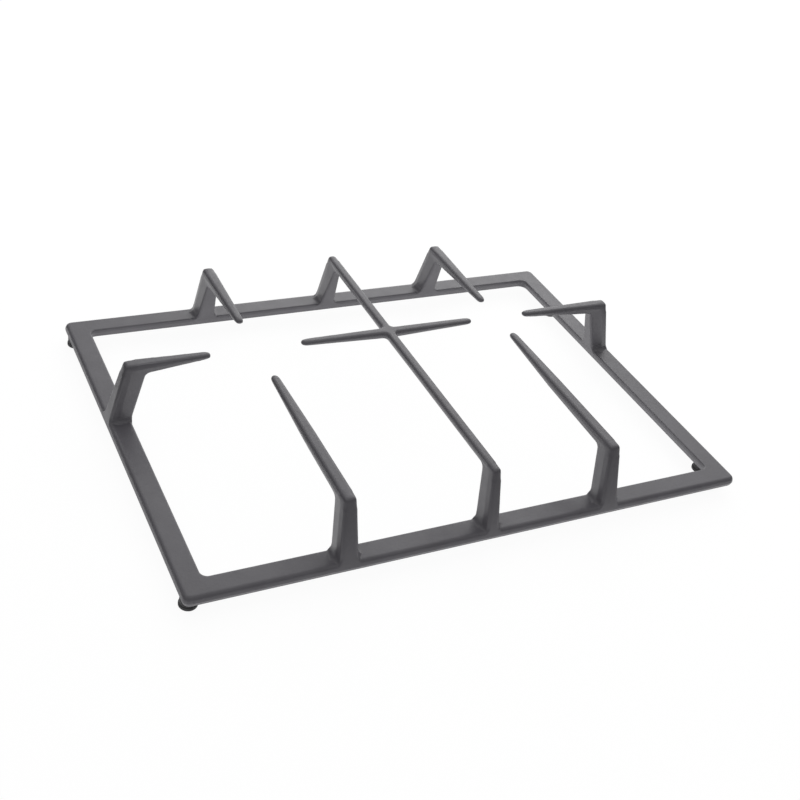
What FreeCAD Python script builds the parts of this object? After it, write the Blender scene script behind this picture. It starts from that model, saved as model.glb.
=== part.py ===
import FreeCAD, Part
import math
import os
from FreeCAD import Vector

# Pan support for a two-burner gas hob: one iron casting on four rubber feet.
# Millimetres. X runs along the long side, Y to the back and Z up.
# The origin is the middle of the frame, on the plane that the feet stand on.

# Frame
frame_length = 400.0
frame_depth = 288.0
bar_width = 15.5
bar_height = 7.3
parting_height = 3.4          # of the parting line on the outer side, above the underside
inner_parting_height = 4.9    # of the parting line on the inner side
outer_corner_radius = 5.0
inner_corner_radius = 4.6
top_inner_draft = 0.2         # how far the inner side leans back above its parting line
bottom_outer_draft = 1.2      # how far the outer side leans back below its parting line
bottom_inner_draft = 1.9
top_edge_radius = 2.8         # round along the top of the outer side
inner_edge_radius = 0.6       # round along the top of the inner side

# Height of the pans
pan_height = 48.6             # from the underside of the bars to the top of the fingers

# Burners
left_burner_x = -98.2
right_burner_x = 90.6
burner_y = 27.4
left_clear_radius = 31.9      # of the circle that the fingertips leave free
right_clear_radius = 21.8

# Legs
leg_outer_lean = 14.9         # degrees from upright
leg_inner_lean = 15.8
leg_parting_lean = 14.1
leg_parting_inset = 6.6       # from the edge of the frame, at the top of the bars
leg_flare_radii = (5.0, 4.5, 8.0)     # where the leg grows out of the bar
leg_outer_drop = 0.3          # from the frame's top round to where the leg's outer flare starts
knee_radii = (1.2, 2.5, 4.0)

# Sizes in threes are for the upper edge, the parting line and the lower edge in turn
finger_foot_widths = (12.4, 14.6, 13.0)
finger_knee_widths = (7.8, 9.5, 8.2)
finger_shank_widths = (7.4, 8.8, 7.2)
finger_tip_widths = (5.1, 5.9, 4.6)
finger_root_depth = 7.5
finger_shank_depth = 6.3
finger_tip_depth = 3.5
finger_taper_length = 62.0    # of the tapered end of a long arm; a shorter arm tapers all the way
long_arm_ratio = 1.6          # of a long arm's least length to that of its tapered end

# Middle bar, with a leg at each end, and the cross arms on it
middle_bar_x = 1.1
middle_foot_widths = (8.5, 10.9, 11.6)
middle_bar_widths = (6.0, 6.8, 5.3)
middle_bar_depth = 5.6
cross_root_widths = (6.6, 7.6, 6.2)
cross_flare_radius = 3.0

# Rubber feet
foot_height = 7.0
foot_rim_diameter = 11.6
foot_rim_height = 2.6
foot_neck_diameter = 10.4
foot_stem_diameter = 4.6
foot_stem_length = 3.6
foot_bevel = 0.6
foot_hole_clearance = 0.2     # round the stem and above its end
foot_edge_distance = 6.2      # from the end of the frame to the middle of a foot
left_foot_inset = 10.0        # from the front and back sides
right_front_foot_inset = 29.4
right_back_foot_inset = 48.0

# Heights and slopes that follow from the sizes above
half_length = frame_length / 2
half_depth = frame_depth / 2
under_z = foot_height
parting_z = under_z + parting_height
inner_parting_z = under_z + inner_parting_height
bar_top_z = under_z + bar_height
pan_z = under_z + pan_height
outer_slope = math.tan(math.radians(leg_outer_lean))
inner_slope = math.tan(math.radians(leg_inner_lean))
parting_slope = math.tan(math.radians(leg_parting_lean))
outer_top_inset = (bar_top_z - parting_z) * outer_slope
top_round_reach = top_edge_radius / math.tan(math.radians(45 + leg_outer_lean / 2))
round_foot_z = bar_top_z - top_round_reach * math.cos(math.radians(leg_outer_lean))
leg_outer_z = round_foot_z - leg_outer_drop
ACROSS = Vector(0, 1, 0)
NEAR = 0.001


# Rounded rectangle round the frame's centre at one height
def rounded_outline(inset, radius, z):
    reach_x = half_length - inset - radius
    reach_y = half_depth - inset - radius
    corners = []
    for quarter, (side_x, side_y) in enumerate([(1, 1), (-1, 1), (-1, -1), (1, -1)]):
        centre = Vector(side_x * reach_x, side_y * reach_y, z)
        corner = []
        for degrees in (0, 45, 90):
            turn = math.radians(90 * quarter + degrees)
            corner.append(centre + Vector(math.cos(turn), math.sin(turn), 0) * radius)
        corners.append(corner)
    edges = []
    for index, corner in enumerate(corners):
        edges.append(Part.Arc(*corner).toShape())
        edges.append(Part.makeLine(corner[2], corners[(index + 1) % 4][0]))
    return Part.Wire(edges)


# Block bounded by rounded outlines, each given as its inset and height.
# The outline at an inset has the corner radius that the widest one leaves there.
def stacked_block(levels, widest_inset, widest_radius):
    outlines = []
    for inset, z in levels:
        outlines.append(rounded_outline(inset, widest_radius + widest_inset - inset, z))
    lower = Part.makeLoft(outlines[:2], True, True)
    upper = Part.makeLoft(outlines[1:], True, True)
    return lower.fuse(upper).removeSplitter()


# Edges of the frame that run at one height and one distance in from its outer sides
def edges_at(frame, inset, z):
    found = []
    for edge in frame.Edges:
        here = True
        for point in [vertex.Point for vertex in edge.Vertexes]:
            reach = min(half_length - abs(point.x), half_depth - abs(point.y))
            here = here and abs(reach - inset) < NEAR and abs(point.z - z) < NEAR
        if here:
            found.append(edge)
    return found


# The four bars are cast as one ring, widest at the parting line of each side
def make_frame():
    outer_top = (outer_top_inset, bar_top_z)
    inner_top = (bar_width - top_inner_draft, bar_top_z)
    outer = [(bottom_outer_draft, under_z), (0, parting_z), outer_top]
    inner = [(bar_width - bottom_inner_draft, under_z), (bar_width, inner_parting_z), inner_top]
    frame = stacked_block(outer, 0, outer_corner_radius)
    frame = frame.cut(stacked_block(inner, bar_width, inner_corner_radius))
    frame = frame.makeFillet(top_edge_radius, edges_at(frame, *outer_top))
    return frame.makeFillet(inner_edge_radius, edges_at(frame, *inner_top))


# Half of the angle at a corner between two straight runs
def half_angle(before, corner, after):
    return (before - corner).getAngle(after - corner) / 2


# Straight runs through the points, with an arc at each inner point that has a radius
def rounded_path(points, radii):
    edges = []
    last = points[0]
    for index, radius in enumerate(radii):
        before, corner, after = points[index:index + 3]
        half = half_angle(before, corner, after)
        back = (before - corner).normalize()
        onward = (after - corner).normalize()
        start = corner + back * (radius / math.tan(half))
        if last.distanceToPoint(start) > 1e-6:
            edges.append(Part.makeLine(last, start))
        last = start
        if radius > 0:
            inward = (back + onward).normalize()
            middle = corner + inward * (radius / math.sin(half) - radius)
            last = corner + onward * (radius / math.tan(half))
            edges.append(Part.Arc(start, middle, last).toShape())
    if last.distanceToPoint(points[-1]) > 1e-6:
        edges.append(Part.makeLine(last, points[-1]))
    return edges


# Point beside a corner where an arc that leaves it across the finger begins
def flare_start(corner, after, radius):
    half = half_angle(corner + ACROSS, corner, after)
    return corner + ACROSS * (radius / math.tan(half))


# Radius that turns the last corner of a fingertip into a full round
def tip_radius(before, corner, after):
    half = half_angle(before, corner, after)
    return corner.distanceToPoint(after) * math.tan(half)


def mirrored(shape):
    return shape.mirror(Vector(0, 0, 0), ACROSS)


# Face between a run of edges on one side of a finger and the same run on its other side
def face_across(edges):
    if len(edges) == 1:
        return Part.makeRuledSurface(edges[0], mirrored(edges[0]))
    wire = Part.Wire(edges)
    first = edges[0].valueAt(edges[0].FirstParameter)
    last = edges[-1].valueAt(edges[-1].LastParameter)
    closing = []
    for point in (first, last):
        if abs(point.y) > 1e-6:
            closing.append(Part.makeLine(point, Vector(point.x, -point.y, point.z)))
    loop = wire.Edges + mirrored(wire).Edges + closing
    return Part.Face(Part.Wire(Part.__sortEdges__(loop)))


# Solid of six-sided section from the upper, parting and lower edges of its one side.
# Flat runs say which edges lie in one plane across the finger.
def skinned(upper, parting, lower, flat_runs):
    faces = []
    for outer_path, inner_path in ((upper, parting), (parting, lower)):
        for outer_edge, inner_edge in zip(outer_path, inner_path):
            side = Part.makeRuledSurface(outer_edge, inner_edge)
            faces += [side, mirrored(side)]
    for path in (upper, lower):
        for first, last in flat_runs:
            faces.append(face_across(path[first:last]))
    for outer_path, inner_path in ((upper, parting), (parting, lower)):
        for edges in ((outer_path[0], inner_path[0]), (outer_path[-1], inner_path[-1])):
            ends = [edge.valueAt(edge.FirstParameter) for edge in edges]
            if edges[0] is outer_path[-1]:
                ends = [edge.valueAt(edge.LastParameter) for edge in edges]
            if abs(ends[0].y) < 1e-6:
                continue
            a, b = ends
            loop = [a, b, Vector(b.x, -b.y, b.z), Vector(a.x, -a.y, a.z), a]
            faces.append(Part.Face(Part.makePolygon(loop)))
    shell = Part.Shell(faces)
    shell.sewShape()
    solid = Part.makeSolid(shell)
    if solid.Volume < 0:
        solid.reverse()
    return solid


# Where the edges of a leg leave the frame, and where they would meet the edges of the arm.
# Each is given as its distance in from the edge of the frame, and its height.
def leg_lines(depth):
    outer_foot = ((leg_outer_z - parting_z) * outer_slope, leg_outer_z)
    parting_foot = (leg_parting_inset, bar_top_z)
    inner_foot = (bar_width, inner_parting_z)
    outer_knee_inset = (pan_z - parting_z) * outer_slope
    parting_knee_z = pan_z - depth / 2
    parting_knee_inset = leg_parting_inset + (parting_knee_z - bar_top_z) * parting_slope
    inner_knee_z = pan_z - depth
    inner_knee_inset = bar_width + (inner_knee_z - inner_parting_z) * inner_slope
    outer = (outer_foot, (outer_knee_inset, pan_z))
    parting = (parting_foot, (parting_knee_inset, parting_knee_z))
    inner = (inner_foot, (inner_knee_inset, inner_knee_z))
    return outer, parting, inner


# Heights of the three edges of an arm of one depth
def arm_heights(depth):
    return pan_z, pan_z - depth / 2, pan_z - depth


# A finger: a leg on the frame and an arm that reaches over the burner.
# An arm much longer than its tapered end has a nearly straight shank before it.
def make_finger(reach):
    arm_length = reach - bar_width
    has_shank = arm_length > long_arm_ratio * finger_taper_length
    shank_heights = arm_heights(finger_shank_depth)
    tip_heights = arm_heights(finger_tip_depth)
    paths = []
    for level, (foot, knee) in enumerate(leg_lines(finger_root_depth)):
        flare = leg_flare_radii[level]
        foot_point = Vector(foot[0], finger_foot_widths[level] / 2, foot[1])
        points = [foot_point, Vector(knee[0], finger_knee_widths[level] / 2, knee[1])]
        radii = [flare, knee_radii[level]]
        if has_shank:
            half_shank = finger_shank_widths[level] / 2
            points.append(Vector(reach - finger_taper_length, half_shank, shank_heights[level]))
            radii.append(0)
        points.append(Vector(reach, finger_tip_widths[level] / 2, tip_heights[level]))
        points.append(Vector(reach, 0, tip_heights[level]))
        radii.append(tip_radius(*points[-3:]))
        points.insert(0, flare_start(points[0], points[1], flare))
        paths.append(rounded_path(points, radii))
    flat_runs = [(0, 2), (2, 3), (3, 5)]
    if has_shank:
        flat_runs = [(0, 2), (2, 3), (3, 4), (4, 6)]
    return skinned(*paths, flat_runs)


# The middle bar runs from front to back on a leg at each end
def make_middle_bar():
    paths = []
    for level, (foot, knee) in enumerate(leg_lines(middle_bar_depth)):
        half_foot = middle_foot_widths[level] / 2
        half_bar = middle_bar_widths[level] / 2
        foot_point = Vector(foot[0], half_foot, foot[1])
        knee_point = Vector(knee[0], half_bar, knee[1])
        far_knee = Vector(frame_depth - knee[0], half_bar, knee[1])
        far_foot = Vector(frame_depth - foot[0], half_foot, foot[1])
        flare = leg_flare_radii[level]
        start = flare_start(foot_point, knee_point, flare)
        far_start = flare_start(far_foot, far_knee, flare)
        points = [start, foot_point, knee_point, far_knee, far_foot, far_start]
        radii = [flare, knee_radii[level], knee_radii[level], flare]
        paths.append(rounded_path(points, radii))
    return skinned(*paths, [(0, 2), (2, 3), (3, 4), (4, 5), (5, 7)])


# A cross arm grows out of the side of the middle bar
def make_cross_arm(reach):
    paths = []
    root_heights = arm_heights(middle_bar_depth)
    tip_heights = arm_heights(finger_tip_depth)
    for level in range(3):
        half_bar = middle_bar_widths[level] / 2
        root_point = Vector(half_bar, cross_root_widths[level] / 2, root_heights[level])
        tip_point = Vector(reach, finger_tip_widths[level] / 2, tip_heights[level])
        tip_end = Vector(reach, 0, tip_heights[level])
        start = flare_start(root_point, tip_point, cross_flare_radius)
        buried = Vector(0, start.y, root_heights[level])
        end_radius = tip_radius(root_point, tip_point, tip_end)
        points = [buried, start, root_point, tip_point, tip_end]
        paths.append(rounded_path(points, [0, cross_flare_radius, end_radius]))
    return skinned(*paths, [(0, 1), (1, 4)])


# Turned about Z from its own frame and set down at a place
def placed(shape, degrees, x, y):
    moved = shape.copy()
    moved.rotate(Vector(0, 0, 0), Vector(0, 0, 1), degrees)
    moved.translate(Vector(x, y, 0))
    return moved


def foot_places():
    left = foot_edge_distance - half_length
    right = half_length - foot_edge_distance
    return {
        "foot_front_left": (left, left_foot_inset - half_depth),
        "foot_front_right": (right, right_front_foot_inset - half_depth),
        "foot_back_left": (left, half_depth - left_foot_inset),
        "foot_back_right": (right, half_depth - right_back_foot_inset),
    }


# The fingers reach to a circle round each burner, and all lie on its two centre lines
def make_casting():
    front_reach = half_depth + burner_y
    back_reach = half_depth - burner_y
    branches = []
    for x, clear in ((left_burner_x, left_clear_radius), (right_burner_x, right_clear_radius)):
        branches.append(placed(make_finger(front_reach - clear), 90, x, -half_depth))
        branches.append(placed(make_finger(back_reach - clear), -90, x, half_depth))
    left_finger = make_finger(half_length + left_burner_x - left_clear_radius)
    right_finger = make_finger(half_length - right_burner_x - right_clear_radius)
    branches.append(placed(left_finger, 0, -half_length, burner_y))
    branches.append(placed(right_finger, 180, half_length, burner_y))
    branches.append(placed(make_middle_bar(), 90, middle_bar_x, -half_depth))
    left_arm = make_cross_arm(middle_bar_x - left_burner_x - left_clear_radius)
    right_arm = make_cross_arm(right_burner_x - middle_bar_x - right_clear_radius)
    branches.append(placed(left_arm, 180, middle_bar_x, burner_y))
    branches.append(placed(right_arm, 0, middle_bar_x, burner_y))
    casting = make_frame().fuse(branches).removeSplitter()
    hole_radius = foot_stem_diameter / 2 + foot_hole_clearance
    hole_depth = foot_stem_length + foot_hole_clearance
    for x, y in foot_places().values():
        casting = casting.cut(Part.makeCylinder(hole_radius, hole_depth, Vector(x, y, under_z)))
    return casting.Solids[0]


# A moulded rubber foot, with a stem that is pushed into a hole in the bar
def make_foot(x, y):
    rim_radius = foot_rim_diameter / 2
    neck_radius = foot_neck_diameter / 2
    stem_radius = foot_stem_diameter / 2
    stem_top = foot_height + foot_stem_length
    profile = [
        (0, 0),
        (rim_radius - foot_bevel, 0),
        (rim_radius, foot_bevel),
        (rim_radius, foot_rim_height - foot_bevel),
        (neck_radius, foot_rim_height),
        (neck_radius, foot_height),
        (stem_radius, foot_height),
        (stem_radius, stem_top),
        (0, stem_top),
        (0, 0),
    ]
    outline = Part.makePolygon([Vector(radius, 0, z) for radius, z in profile])
    foot = Part.Face(outline).revolve(Vector(0, 0, 0), Vector(0, 0, 1), 360)
    return placed(foot, 0, x, y)


os.makedirs("parts", exist_ok=True)
casting = make_casting()
casting.exportStep("parts/pan_support_casting.step")
for name, (x, y) in foot_places().items():
    make_foot(x, y).exportStep("parts/" + name + ".step")
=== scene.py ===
import math

import bmesh
import bpy
import numpy as np
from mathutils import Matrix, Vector


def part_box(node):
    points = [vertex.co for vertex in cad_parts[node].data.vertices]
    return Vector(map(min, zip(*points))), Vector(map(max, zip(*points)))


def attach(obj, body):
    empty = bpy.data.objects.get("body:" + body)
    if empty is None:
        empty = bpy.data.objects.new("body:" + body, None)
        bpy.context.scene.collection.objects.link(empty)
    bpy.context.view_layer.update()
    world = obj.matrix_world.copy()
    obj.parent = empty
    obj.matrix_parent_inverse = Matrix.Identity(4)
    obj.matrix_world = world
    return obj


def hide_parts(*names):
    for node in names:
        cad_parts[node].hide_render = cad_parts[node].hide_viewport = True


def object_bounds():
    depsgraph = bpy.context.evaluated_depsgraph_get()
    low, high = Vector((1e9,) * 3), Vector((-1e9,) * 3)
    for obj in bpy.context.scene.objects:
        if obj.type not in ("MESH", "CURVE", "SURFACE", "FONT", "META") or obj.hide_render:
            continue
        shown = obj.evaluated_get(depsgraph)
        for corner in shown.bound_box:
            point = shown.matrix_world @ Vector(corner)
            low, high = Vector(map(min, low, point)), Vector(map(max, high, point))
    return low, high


# Pan support for a two-burner gas hob: one enamelled iron casting on four rubber feet.
# Metres. X runs along the long side, Y to the back and Z up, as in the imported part.
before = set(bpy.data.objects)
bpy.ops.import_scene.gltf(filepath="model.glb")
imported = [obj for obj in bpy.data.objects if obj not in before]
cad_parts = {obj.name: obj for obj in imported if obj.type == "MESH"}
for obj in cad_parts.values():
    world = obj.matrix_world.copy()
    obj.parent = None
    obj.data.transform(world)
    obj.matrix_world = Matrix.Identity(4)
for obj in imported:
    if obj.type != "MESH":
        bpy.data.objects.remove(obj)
cad_low, cad_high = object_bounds()


# Iron casting
# Frame, six fingers, middle bar and two cross arms are cast in one in a sand mould.
# Tumbling takes the sharpness off its edges, and the faces keep the mould's faint waves.
casting_node = "pan_support_casting"
same_point = 2e-6                 # corners of loose facets that are nearer are one
flat_within = math.radians(0.6)   # facets that lie in one plane are joined
on_cut = 1e-7
edge_from = math.radians(40)      # an outward turn sharper than this gets a round
shortest_edge = 0.0002
looks_down = -0.7                 # a face does, if its normal's height is below this
arm_round = 0.0017                # along the tops of the arms and the outer edges of the legs
under_round = 0.0009              # along the edges of faces that look down
frame_round = 0.00045             # along the other edges of the frame
round_segments = 4
bar_top = 0.0145                  # just over the frame's top
burners = ((-0.0982, 0.0274, 0.0319), (0.0906, 0.0274, 0.0218))   # centre, radius left free
middle_bar = 0.0011
# Planes that cut the long faces, so that a round keeps its width from end to end
cuts_across_x = (
    -0.185, -0.165, -0.15, -0.138, -0.055, -0.03, 0.03, 0.055, 0.12, 0.14, 0.16, 0.185
)
cuts_across_y = (-0.13, -0.08, -0.055, -0.03, -0.013, 0.068, 0.08, 0.10, 0.13)
casting_cell = 0.0004             # of the mesh that the waves are laid on
softening_steps = 2
corner_steps = 40                 # more softening at the knees and fingertips
knee_inset = 0.0120               # of a knee from the frame's outer side
knee_share, tip_share = 1.0, 0.35
knee_reach = (0.0055, 0.0090)     # full share within the first, none beyond the second
tip_reach = (0.0022, 0.0060)
corner_share = "corner_share"     # the attribute that holds the share at each point
wave_depth = 0.00006
wave_length = 0.016
wave_detail = 2.0
box_margin = Vector((0.00001, 0.00001, 0.00001))
casting_triangles = 196000


def placed(name, data):
    thing = bpy.data.objects.new(name, data)
    bpy.context.scene.collection.objects.link(thing)
    return thing


# Copy of a CAD mesh with joined facets, whose edges say how much round each one gets
def marked_copy(node, name):
    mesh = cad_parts[node].data.copy()
    mesh.name = name
    mesh.materials.clear()
    shell = bmesh.new()
    shell.from_mesh(mesh)
    bmesh.ops.remove_doubles(shell, verts=shell.verts, dist=same_point)
    bmesh.ops.dissolve_limit(
        shell, angle_limit=flat_within, verts=shell.verts, edges=shell.edges, delimit=set()
    )
    cuts = [(Vector((x, 0, 0)), Vector((1, 0, 0))) for x in cuts_across_x]
    cuts += [(Vector((0, y, 0)), Vector((0, 1, 0))) for y in cuts_across_y]
    for point, normal in cuts:
        everything = shell.verts[:] + shell.edges[:] + shell.faces[:]
        bmesh.ops.bisect_plane(
            shell, geom=everything, dist=on_cut, plane_co=point, plane_no=normal
        )
    weight = shell.edges.layers.float.new("bevel_weight_edge")
    for edge in shell.edges:
        if edge.calc_length() > shortest_edge and edge.calc_face_angle_signed(0.0) > edge_from:
            round_here = arm_round
            if min(face.normal.z for face in edge.link_faces) < looks_down:
                round_here = under_round
            elif max(vert.co.z for vert in edge.verts) < bar_top:
                round_here = frame_round
            edge[weight] = round_here / arm_round
    shell.to_mesh(mesh)
    shell.free()
    return placed(name, mesh)


# Turns what the modifiers make into the piece's own plain mesh
def baked(piece):
    state = bpy.context.evaluated_depsgraph_get()
    mesh = bpy.data.meshes.new_from_object(piece.evaluated_get(state), depsgraph=state)
    mesh.name = piece.name
    piece.modifiers.clear()
    piece.data = mesh


# How much of the corner softening each point gets: all of it at a knee, some at a fingertip
def mark_corners(mesh):
    count = len(mesh.vertices)
    places = np.empty(count * 3, np.float32)
    mesh.vertices.foreach_get("co", places)
    places = places.reshape(count, 3)
    shares = np.zeros(count, np.float32)
    side_x, side_y, top = cad_high.x - knee_inset, cad_high.y - knee_inset, cad_high.z
    bars_across = (burners[0][0], middle_bar, burners[1][0])
    knees = [(x, y) for x in bars_across for y in (-side_y, side_y)]
    knees += [(x, burners[0][1]) for x in (-side_x, side_x)]
    tips = []
    for x, y, free in burners:
        tips += [(x - free, y), (x + free, y), (x, y - free), (x, y + free)]
    corners = [(knee, knee_reach, knee_share) for knee in knees]
    corners += [(tip, tip_reach, tip_share) for tip in tips]
    for (x, y), (full, none), most in corners:
        away = np.linalg.norm(places - np.array((x, y, top), np.float32), axis=1)
        fade = np.clip((none - away) / (none - full), 0.0, 1.0)
        shares = np.maximum(shares, most * fade * fade * (3.0 - 2.0 * fade))
    mesh.attributes.new(corner_share, "FLOAT", "POINT").data.foreach_set("value", shares)


def new_tree(name, inputs):
    tree = bpy.data.node_groups.new(name, "GeometryNodeTree")
    tree.interface.new_socket("Geometry", in_out="INPUT", socket_type="NodeSocketGeometry")
    for label, kind in inputs:
        tree.interface.new_socket(label, in_out="INPUT", socket_type=kind)
    tree.interface.new_socket("Geometry", in_out="OUTPUT", socket_type="NodeSocketGeometry")
    return tree, tree.nodes.new("NodeGroupInput")


# Ends a tree: real geometry in the piece's material
def finish_tree(tree, given, geometry):
    realized = tree.nodes.new("GeometryNodeRealizeInstances")
    tree.links.new(geometry, realized.inputs[0])
    painted = tree.nodes.new("GeometryNodeSetMaterial")
    tree.links.new(realized.outputs[0], painted.inputs["Geometry"])
    tree.links.new(given.outputs["Material"], painted.inputs["Material"])
    result = tree.nodes.new("NodeGroupOutput")
    tree.links.new(painted.outputs[0], result.inputs[0])


def set_inputs(modifier, values):
    for item in modifier.node_group.interface.items_tree:
        if item.in_out == "INPUT" and item.name in values:
            modifier[item.identifier] = values[item.name]


def feed(tree, socket, value):
    if isinstance(value, bpy.types.NodeSocket):
        tree.links.new(value, socket)
    else:
        socket.default_value = value


def math_node(tree, operation, first, second=0.0):
    node = tree.nodes.new("ShaderNodeMath")
    node.operation = operation
    feed(tree, node.inputs[0], first)
    feed(tree, node.inputs[1], second)
    return node.outputs[0]


def vector_node(tree, operation, first, second):
    node = tree.nodes.new("ShaderNodeVectorMath")
    node.operation = operation
    feed(tree, node.inputs[0], first)
    feed(tree, node.inputs["Scale" if operation == "SCALE" else 1], second)
    return node.outputs[0]


# Sets a geometry's points at the given places ("Position") or moves them on ("Offset")
def moved_points(tree, geometry, label, value):
    node = tree.nodes.new("GeometryNodeSetPosition")
    tree.links.new(geometry, node.inputs["Geometry"])
    tree.links.new(value, node.inputs[label])
    return node.outputs[0]


def blurred(tree, value, steps, weight=1.0):
    node = tree.nodes.new("GeometryNodeBlurAttribute")
    node.data_type = "FLOAT_VECTOR"
    tree.links.new(value, node.inputs["Value"])
    tree.links.new(steps, node.inputs["Iterations"])
    feed(tree, node.inputs["Weight"], weight)
    return node.outputs[0]


# Softens the fine mesh everywhere and more at its corners, sinks the waves into it, and
# keeps it within the casting's box
def cast_skin_tree():
    inputs = [
        ("Softening steps", "NodeSocketInt"),
        ("Corner steps", "NodeSocketInt"),
        ("Wave depth", "NodeSocketFloat"),
        ("Wave length", "NodeSocketFloat"),
        ("Lowest corner", "NodeSocketVector"),
        ("Highest corner", "NodeSocketVector"),
        ("Material", "NodeSocketMaterial"),
    ]
    tree, given = new_tree("Cast skin", inputs)
    here = tree.nodes.new("GeometryNodeInputPosition").outputs[0]
    normal = tree.nodes.new("GeometryNodeInputNormal").outputs[0]
    share = tree.nodes.new("GeometryNodeInputNamedAttribute")
    share.data_type = "FLOAT"
    share.inputs["Name"].default_value = corner_share

    even = blurred(tree, here, given.outputs["Softening steps"])
    skin = moved_points(tree, given.outputs["Geometry"], "Position", even)
    worn = blurred(tree, here, given.outputs["Corner steps"], share.outputs[0])
    skin = moved_points(tree, skin, "Position", worn)

    waves = tree.nodes.new("ShaderNodeTexNoise")
    waves.inputs["Detail"].default_value = wave_detail
    tree.links.new(here, waves.inputs["Vector"])
    feed(tree, waves.inputs["Scale"], math_node(tree, "DIVIDE", 1.0, given.outputs["Wave length"]))
    hollow = math_node(tree, "MULTIPLY", waves.outputs["Fac"], given.outputs["Wave depth"])
    inward = vector_node(tree, "SCALE", normal, math_node(tree, "MULTIPLY", hollow, -1.0))
    skin = moved_points(tree, skin, "Offset", inward)

    raised = vector_node(tree, "MAXIMUM", here, given.outputs["Lowest corner"])
    lowered = vector_node(tree, "MINIMUM", raised, given.outputs["Highest corner"])
    finish_tree(tree, given, moved_points(tree, skin, "Position", lowered))
    return tree


# Noise on Object coordinates, by its number of patches in a metre
def noise(tree, per_metre, detail, roughness=0.5):
    place = tree.nodes.get("Texture Coordinate") or tree.nodes.new("ShaderNodeTexCoord")
    node = tree.nodes.new("ShaderNodeTexNoise")
    node.inputs["Scale"].default_value = per_metre
    node.inputs["Detail"].default_value = detail
    node.inputs["Roughness"].default_value = roughness
    tree.links.new(place.outputs["Object"], node.inputs["Vector"])
    return node.outputs["Fac"]


def ramp(tree, value, *stops):
    node = tree.nodes.new("ShaderNodeValToRGB")
    for point, (where, colour) in zip(node.color_ramp.elements, stops):
        point.position = where
        point.color = (*colour, 1.0)
    tree.links.new(value, node.inputs["Fac"])
    return node.outputs["Color"]


def bump(tree, height, strength, depth, under=None):
    node = tree.nodes.new("ShaderNodeBump")
    node.inputs["Strength"].default_value = strength
    node.inputs["Distance"].default_value = depth
    tree.links.new(height, node.inputs["Height"])
    if under is not None:
        tree.links.new(under, node.inputs["Normal"])
    return node.outputs["Normal"]


# Satin vitreous enamel, dark grey with a breath of violet. It is sprayed on as a powder and
# fired, so it has a fine grain, slightly cloudy colour and slightly uneven gloss.
enamel_dark, enamel_light = (0.0935, 0.0895, 0.1005), (0.1095, 0.1055, 0.1180)
enamel_glossy, enamel_dull = (0.36, 0.36, 0.36), (0.44, 0.44, 0.44)   # roughness
enamel_refraction = 1.52
enamel_clouds, enamel_gloss_patches, enamel_peel, enamel_grain = 55.0, 140.0, 420.0, 1900.0
peel_strength, peel_depth = 0.12, 0.0006
grain_strength, grain_depth = 0.06, 0.0002


def enamel_material():
    material = bpy.data.materials.new("Satin enamel")
    material.use_nodes = True
    tree = material.node_tree
    shader = tree.nodes["Principled BSDF"]
    colour = ramp(tree, noise(tree, enamel_clouds, 4.0), (0.3, enamel_dark), (0.7, enamel_light))
    tree.links.new(colour, shader.inputs["Base Color"])
    patches = noise(tree, enamel_gloss_patches, 3.0)
    gloss = ramp(tree, patches, (0.25, enamel_glossy), (0.75, enamel_dull))
    tree.links.new(gloss, shader.inputs["Roughness"])
    shader.inputs["IOR"].default_value = enamel_refraction
    grain = bump(tree, noise(tree, enamel_grain, 3.0, 0.6), grain_strength, grain_depth)
    peel = bump(tree, noise(tree, enamel_peel, 2.0), peel_strength, peel_depth, grain)
    tree.links.new(peel, shader.inputs["Normal"])
    return material


casting = marked_copy(casting_node, "enamelled_casting")
rounds = casting.modifiers.new("Rounds", "BEVEL")
rounds.limit_method = "WEIGHT"
rounds.offset_type = "OFFSET"
rounds.width = arm_round
rounds.segments = round_segments
rounds.use_clamp_overlap = False
baked(casting)
cells = casting.modifiers.new("Cells", "REMESH")
cells.mode = "VOXEL"
cells.voxel_size = casting_cell
cells.use_smooth_shade = True
baked(casting)
mark_corners(casting.data)
skin = casting.modifiers.new("Cast skin", "NODES")
skin.node_group = cast_skin_tree()
casting_low, casting_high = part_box(casting_node)
set_inputs(skin, {
    "Softening steps": softening_steps,
    "Corner steps": corner_steps,
    "Wave depth": wave_depth,
    "Wave length": wave_length,
    "Lowest corner": tuple(casting_low + box_margin),
    "Highest corner": tuple(casting_high - box_margin),
    "Material": enamel_material(),
})
baked(casting)
triangles = sum(len(face.vertices) - 2 for face in casting.data.polygons)
thinner = casting.modifiers.new("Thinner", "DECIMATE")
thinner.ratio = min(1.0, casting_triangles / triangles)
baked(casting)
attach(casting, "root")
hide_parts(casting_node)


# Rubber feet
# Four moulded feet of black rubber, each pushed by its stem into a blind hole in the frame.
# A foot has a round rim to stand on, a neck, a dished underside and a fine mould line.
foot_nodes = ["foot_front_left", "foot_front_right", "foot_back_left", "foot_back_right"]
foot_profile_mm = [               # radius and height, from the underside's middle to the top's
    (0.0, 0.5),
    (1.9, 0.45),
    (2.6, 0.0),
    (5.4, 0.0),
    (5.72, 0.5),
    (5.72, 1.2),
    (5.79, 1.28),
    (5.72, 1.36),
    (5.70, 2.2),
    (5.2, 2.58),
    (5.12, 6.95),
    (2.3, 6.98),
    (2.25, 10.2),
    (1.6, 10.58),
    (0.0, 10.58),
]
foot_corner_radius = 0.00035
foot_corner_points = 4
foot_segments = 72
seam_gap = 1e-6                   # points nearer than this are sewn together


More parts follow.
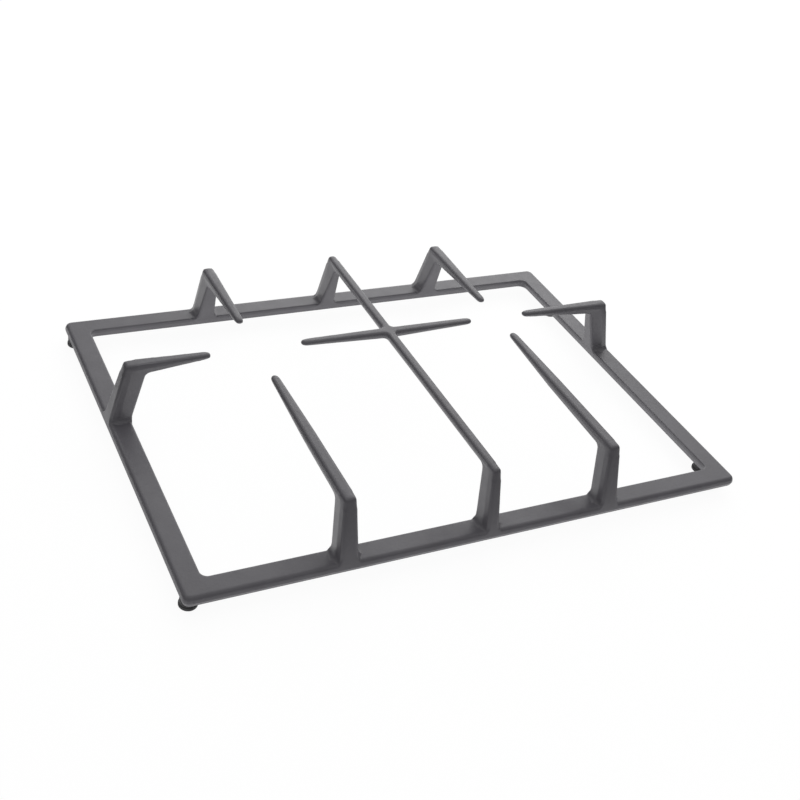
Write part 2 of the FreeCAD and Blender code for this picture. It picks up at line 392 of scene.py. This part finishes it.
# Turns a profile in the XZ plane round the Z axis and sets it at its place
def lathe_tree():
    inputs = [
        ("Corner radius", "NodeSocketFloat"),
        ("Segments", "NodeSocketInt"),
        ("Place", "NodeSocketVector"),
        ("Material", "NodeSocketMaterial"),
    ]
    tree, given = new_tree("Moulded foot", inputs)
    links = tree.links
    outline = tree.nodes.new("GeometryNodeMeshToCurve")
    links.new(given.outputs["Geometry"], outline.inputs["Mesh"])
    soft = tree.nodes.new("GeometryNodeFilletCurve")
    soft.mode = "POLY"
    soft.inputs["Count"].default_value = foot_corner_points
    soft.inputs["Limit Radius"].default_value = True
    links.new(outline.outputs[0], soft.inputs["Curve"])
    links.new(given.outputs["Corner radius"], soft.inputs["Radius"])

    # A sheet with a row for each point of the profile and a column for each step of the turn
    size = tree.nodes.new("GeometryNodeAttributeDomainSize")
    size.component = "CURVE"
    links.new(soft.outputs[0], size.inputs[0])
    columns = math_node(tree, "ADD", given.outputs["Segments"], 1.0)
    sheet = tree.nodes.new("GeometryNodeMeshGrid")
    links.new(size.outputs["Point Count"], sheet.inputs["Vertices X"])
    links.new(columns, sheet.inputs["Vertices Y"])
    index = tree.nodes.new("GeometryNodeInputIndex").outputs[0]
    column = math_node(tree, "MODULO", index, columns)
    inside_row = math_node(tree, "ADD", index, 0.5)
    row = math_node(tree, "FLOOR", math_node(tree, "DIVIDE", inside_row, columns))

    # Each point of the sheet goes to its row's place on the profile, turned by its column
    turns = math_node(tree, "MULTIPLY", column, math.tau)
    turn = math_node(tree, "DIVIDE", turns, given.outputs["Segments"])
    sample = tree.nodes.new("GeometryNodeSampleIndex")
    sample.data_type = "FLOAT_VECTOR"
    here = tree.nodes.new("GeometryNodeInputPosition")
    links.new(soft.outputs[0], sample.inputs["Geometry"])
    links.new(here.outputs[0], sample.inputs["Value"])
    links.new(row, sample.inputs["Index"])
    split = tree.nodes.new("ShaderNodeSeparateXYZ")
    links.new(sample.outputs[0], split.inputs[0])
    joined = tree.nodes.new("ShaderNodeCombineXYZ")
    for axis, wave in (("X", "COSINE"), ("Y", "SINE")):
        part = math_node(tree, "MULTIPLY", split.outputs["X"], math_node(tree, wave, turn))
        links.new(part, joined.inputs[axis])
    links.new(split.outputs["Z"], joined.inputs["Z"])
    place = vector_node(tree, "ADD", joined.outputs[0], given.outputs["Place"])
    turned = moved_points(tree, sheet.outputs["Mesh"], "Position", place)

    sewn = tree.nodes.new("GeometryNodeMergeByDistance")
    sewn.inputs["Distance"].default_value = seam_gap
    links.new(turned, sewn.inputs["Geometry"])
    smooth = tree.nodes.new("GeometryNodeSetShadeSmooth")
    links.new(sewn.outputs[0], smooth.inputs["Geometry"])
    finish_tree(tree, given, smooth.outputs[0])
    return tree


# Matt black rubber with a faint grey bloom and the mould's fine texture
rubber_dark, rubber_light = (0.020, 0.020, 0.022), (0.032, 0.032, 0.034)
rubber_roughness, rubber_refraction = 0.62, 1.5
rubber_bloom, rubber_texture = 260.0, 2600.0
texture_strength, texture_depth = 0.2, 0.0001


def rubber_material():
    material = bpy.data.materials.new("Foot rubber")
    material.use_nodes = True
    tree = material.node_tree
    shader = tree.nodes["Principled BSDF"]
    colour = ramp(tree, noise(tree, rubber_bloom, 3.0), (0.3, rubber_dark), (0.75, rubber_light))
    tree.links.new(colour, shader.inputs["Base Color"])
    shader.inputs["Roughness"].default_value = rubber_roughness
    shader.inputs["IOR"].default_value = rubber_refraction
    matt = bump(tree, noise(tree, rubber_texture, 2.0), texture_strength, texture_depth)
    tree.links.new(matt, shader.inputs["Normal"])
    return material


foot_tree = lathe_tree()
rubber = rubber_material()
for node in foot_nodes:
    low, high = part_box(node)
    profile = bpy.data.meshes.new(node + "_profile")
    points = [(radius / 1000, 0.0, height / 1000) for radius, height in foot_profile_mm]
    profile.from_pydata(points, [(i, i + 1) for i in range(len(points) - 1)], [])
    foot = placed(node + "_rubber", profile)
    lathe = foot.modifiers.new("Lathe", "NODES")
    lathe.node_group = foot_tree
    set_inputs(lathe, {
        "Corner radius": foot_corner_radius,
        "Segments": foot_segments,
        "Place": ((low.x + high.x) / 2, (low.y + high.y) / 2, 0.0),
        "Material": rubber,
    })
    baked(foot)
    shell = bmesh.new()
    shell.from_mesh(foot.data)
    bmesh.ops.recalc_face_normals(shell, faces=shell.faces)
    shell.to_mesh(foot.data)
    shell.free()
    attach(foot, "root")
    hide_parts(node)


# Studio
# A white sheet under and behind the support on a grey table, tall soft panels low behind it and
# to the right, and faint light from above. The camera sees the whole floor as white paper.
floor_size = 8.0
floor_level = -0.00005
sheet_centre = (0.0, 0.31)
sheet_half = (0.27, 0.50)
sheet_edge = 0.03                 # width of the blend from the sheet to the table
sheet_white, table_grey = 0.9, 0.12
# Painted light: for every ray but the camera's the sheet glows, and the table in front of it glows
# less, in place of the light a lit sheet would throw back onto the support
sheet_glow, front_glow = 0.60, 0.33
paper_strength = 1.04             # with its shaded share this is white
paper_shaded = 0.10               # share of the camera's view of the floor that takes shadows
fill_light = 0.17                 # of the world, from every side
overhead_light = 0.50             # more of it from above
overhead_rise = (0.3, 0.8)        # heights of a unit direction where that starts and is full
panel_distance = 1.6
panels = [                        # name, degrees right of straight behind, rise, size, radiance
    ("panel_behind", 0, 25, (0.95, 1.4), 0.63),
    ("panel_behind_right", 30, 23, (0.85, 1.2), 1.90),
    ("panel_right", 60, 25, (0.95, 1.4), 0.95),
    ("panel_high", 30, 60, (1.6, 0.8), 0.50),
]

half = floor_size / 2
floor_mesh = bpy.data.meshes.new("floor")
floor_corners = ((-half, -half), (half, -half), (half, half), (-half, half))
floor_mesh.from_pydata([(x, y, floor_level) for x, y in floor_corners], [], [(0, 1, 2, 3)])
floor = placed("floor", floor_mesh)


def smooth_step(tree, value, low, high, at_low, at_high):
    node = tree.nodes.new("ShaderNodeMapRange")
    node.interpolation_type = "SMOOTHSTEP"
    labels = ("From Min", "From Max", "To Min", "To Max")
    for label, number in zip(labels, (low, high, at_low, at_high)):
        node.inputs[label].default_value = number
    tree.links.new(value, node.inputs["Value"])
    return node.outputs["Result"]


def mixed(tree, share, first, second):
    node = tree.nodes.new("ShaderNodeMixShader")
    feed(tree, node.inputs["Fac"], share)
    tree.links.new(first, node.inputs[1])
    tree.links.new(second, node.inputs[2])
    return node.outputs[0]


def floor_material():
    material = bpy.data.materials.new("White floor")
    material.use_nodes = True
    tree = material.node_tree
    nodes, links = tree.nodes, tree.links

    place = nodes.new("ShaderNodeTexCoord")
    axes = nodes.new("ShaderNodeSeparateXYZ")
    links.new(place.outputs["Object"], axes.inputs[0])
    blend = sheet_edge / 2
    sides = []
    for axis, centre, reach in zip("XY", sheet_centre, sheet_half):
        from_centre = math_node(tree, "SUBTRACT", axes.outputs[axis], centre)
        away = math_node(tree, "ABSOLUTE", from_centre)
        sides.append(smooth_step(tree, away, reach - blend, reach + blend, 1.0, 0.0))
    on_sheet = math_node(tree, "MULTIPLY", *sides)
    ground = nodes["Principled BSDF"]
    ground.inputs["Roughness"].default_value = 1.0
    ground.inputs["Specular IOR Level"].default_value = 0.0
    ground.inputs["Emission Color"].default_value = (1.0, 1.0, 1.0, 1.0)
    paleness = smooth_step(tree, on_sheet, 0.0, 1.0, table_grey, sheet_white)
    links.new(paleness, ground.inputs["Base Color"])
    front = sheet_centre[1] - sheet_half[1]
    in_front = smooth_step(tree, axes.outputs["Y"], front - blend, front + blend, front_glow, 0.0)
    glow = math_node(tree, "ADD", math_node(tree, "MULTIPLY", on_sheet, sheet_glow), in_front)
    links.new(glow, ground.inputs["Emission Strength"])

    white = nodes.new("ShaderNodeEmission")
    white.inputs["Strength"].default_value = paper_strength
    shaded = nodes.new("ShaderNodeBsdfDiffuse")
    shaded.inputs["Color"].default_value = (sheet_white, sheet_white, sheet_white, 1.0)
    paper = mixed(tree, paper_shaded, white.outputs[0], shaded.outputs[0])
    ray = nodes.new("ShaderNodeLightPath")
    seen = mixed(tree, ray.outputs["Is Camera Ray"], ground.outputs[0], paper)
    links.new(seen, nodes["Material Output"].inputs["Surface"])
    return material


floor_mesh.materials.append(floor_material())

world = bpy.data.worlds.new("Studio")
bpy.context.scene.world = world
world.use_nodes = True
sky = world.node_tree
backdrop = sky.nodes["Background"]
backdrop.inputs["Color"].default_value = (1.0, 1.0, 1.0, 1.0)
direction = sky.nodes.new("ShaderNodeTexCoord")
rise = sky.nodes.new("ShaderNodeSeparateXYZ")
sky.links.new(direction.outputs["Generated"], rise.inputs[0])
above = smooth_step(sky, rise.outputs["Z"], *overhead_rise, fill_light, fill_light + overhead_light)
ray = sky.nodes.new("ShaderNodeLightPath")
strength = math_node(sky, "MAXIMUM", above, ray.outputs["Is Camera Ray"])
sky.links.new(strength, backdrop.inputs["Strength"])

for name, side, lift, size, radiance in panels:
    lamp = bpy.data.lights.new(name, "AREA")
    lamp.shape = "RECTANGLE"
    lamp.size, lamp.size_y = size
    lamp.energy = radiance * math.pi * size[0] * size[1]
    stand = placed(name, lamp)
    flat = panel_distance * math.cos(math.radians(lift))
    stand.location = (
        flat * math.sin(math.radians(side)),
        flat * math.cos(math.radians(side)),
        panel_distance * math.sin(math.radians(lift)),
    )
    stand.rotation_euler = (-stand.location).to_track_quat("-Z", "Y").to_euler()
    stand.visible_camera = False


# Camera
# It stands where the photograph was taken from, in front, to the left and above. Its place,
# turn and lens come from matching the support's edges with the photograph's.
camera_lens_mm, camera_sensor_mm = 53.038, 36.0
camera_place = (-0.359845, -0.579948, 0.501882)
camera_turn_degrees = (53.93419, -8.90569, -25.67791)
nearest_seen = 0.05

camera_data = bpy.data.cameras.new("Camera")
camera_data.lens = camera_lens_mm
camera_data.sensor_width = camera_sensor_mm
camera_data.clip_start = nearest_seen
camera = placed("Camera", camera_data)
camera.location = camera_place
camera.rotation_euler = [math.radians(angle) for angle in camera_turn_degrees]
bpy.context.scene.camera = camera
bpy.context.scene.view_settings.view_transform = "Standard"
